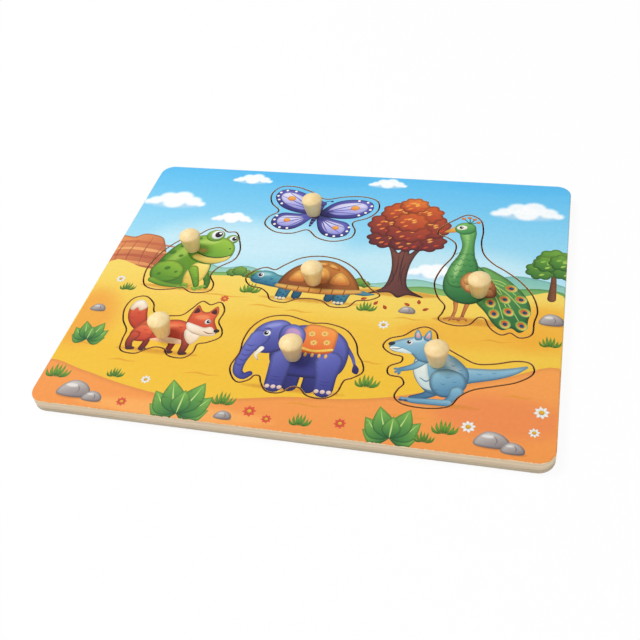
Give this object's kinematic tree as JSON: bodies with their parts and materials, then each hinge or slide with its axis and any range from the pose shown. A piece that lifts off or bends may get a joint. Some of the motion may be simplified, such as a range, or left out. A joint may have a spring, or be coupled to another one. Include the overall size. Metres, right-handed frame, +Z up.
{
  "type": "peg puzzle",
  "caption": "Flat wooden peg puzzle: printed face board with animal pockets on a backing board, loose animal pieces and a turned knob on each to lift it out.",
  "frame": {"origin": "middle of the board's underside, on the surface that it lies on", "axes": "+Z up through the printed face, +X to the right along the board's long side, +Y from the front edge to the back edge of the picture"},
  "size_m": [0.3, 0.234, 0.0245],
  "materials": {
    "backing_wood": "plain sanded plywood",
    "frame_print": "plywood with a printed landscape under satin varnish",
    "knob_wood": "turned pale wood, satin",
    "frog_print": "plywood with a printed frog under satin varnish",
    "butterfly_print": "plywood with a printed butterfly under satin varnish",
    "turtle_print": "plywood with a printed turtle under satin varnish",
    "peacock_print": "plywood with a printed peacock under satin varnish",
    "fox_print": "plywood with a printed fox under satin varnish",
    "elephant_print": "plywood with a printed elephant under satin varnish",
    "kangaroo_print": "plywood with a printed kangaroo under satin varnish"
  },
  "bodies": {
    "board": {"backing_board": "backing_wood", "frame_board": "frame_print"},
    "frog": {"frog_piece": "frog_print", "frog_knob": "knob_wood"},
    "butterfly": {"butterfly_piece": "butterfly_print", "butterfly_knob": "knob_wood"},
    "turtle": {"turtle_piece": "turtle_print", "turtle_knob": "knob_wood"},
    "peacock": {"peacock_piece": "peacock_print", "peacock_knob": "knob_wood"},
    "fox": {"fox_piece": "fox_print", "fox_knob": "knob_wood"},
    "elephant": {"elephant_piece": "elephant_print", "elephant_knob": "knob_wood"},
    "kangaroo": {"kangaroo_piece": "kangaroo_print", "kangaroo_knob": "knob_wood"}
  },
  "joints": [
    {"name": "frog_lift", "type": "slide", "parent": "board", "child": "frog", "axis": [0, 0, 1], "range_m": [0, 0.04]},
    {"name": "butterfly_lift", "type": "slide", "parent": "board", "child": "butterfly", "axis": [0, 0, 1], "range_m": [0, 0.04]},
    {"name": "turtle_lift", "type": "slide", "parent": "board", "child": "turtle", "axis": [0, 0, 1], "range_m": [0, 0.04]},
    {"name": "peacock_lift", "type": "slide", "parent": "board", "child": "peacock", "axis": [0, 0, 1], "range_m": [0, 0.04]},
    {"name": "fox_lift", "type": "slide", "parent": "board", "child": "fox", "axis": [0, 0, 1], "range_m": [0, 0.04]},
    {"name": "elephant_lift", "type": "slide", "parent": "board", "child": "elephant", "axis": [0, 0, 1], "range_m": [0, 0.04]},
    {"name": "kangaroo_lift", "type": "slide", "parent": "board", "child": "kangaroo", "axis": [0, 0, 1], "range_m": [0, 0.04]}
  ]
}
